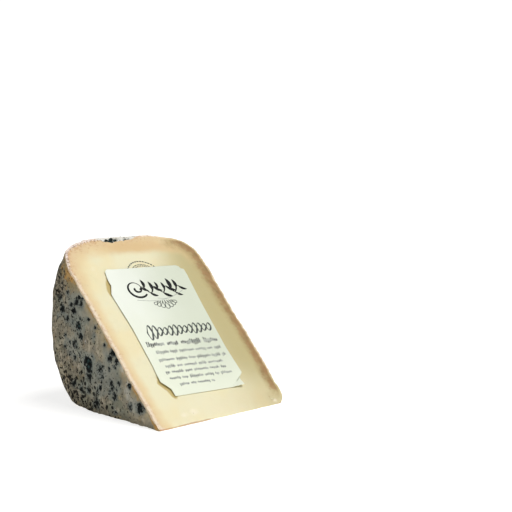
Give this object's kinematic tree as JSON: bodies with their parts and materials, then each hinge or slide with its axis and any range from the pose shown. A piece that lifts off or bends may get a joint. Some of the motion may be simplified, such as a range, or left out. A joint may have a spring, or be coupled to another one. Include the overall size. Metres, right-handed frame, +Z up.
{
  "type": "gorgonzola wedge",
  "caption": "Wedge of blue cheese cut from a small wheel, lying on one cut face, with mouldy rind on its flanks and rim and a plain paper label on the sloping cut face.",
  "frame": {"origin": "middle of the footprint box, on the surface that the wedge rests on", "axes": "+Z up, +Y from the sharp tip edge at the front to the rim of the wheel at the back, X across the wheel from flank to flank"},
  "size_m": [0.1034, 0.1167, 0.0972],
  "materials": {
    "cheese": "moist pale cream cheese paste on the cut faces, with a dry grey rind spotted with blue-black mould on flanks and rim",
    "label_paper": null
  },
  "bodies": {
    "root": {"cheese_wedge": "cheese", "paper_label": "label_paper"}
  },
  "joints": []
}
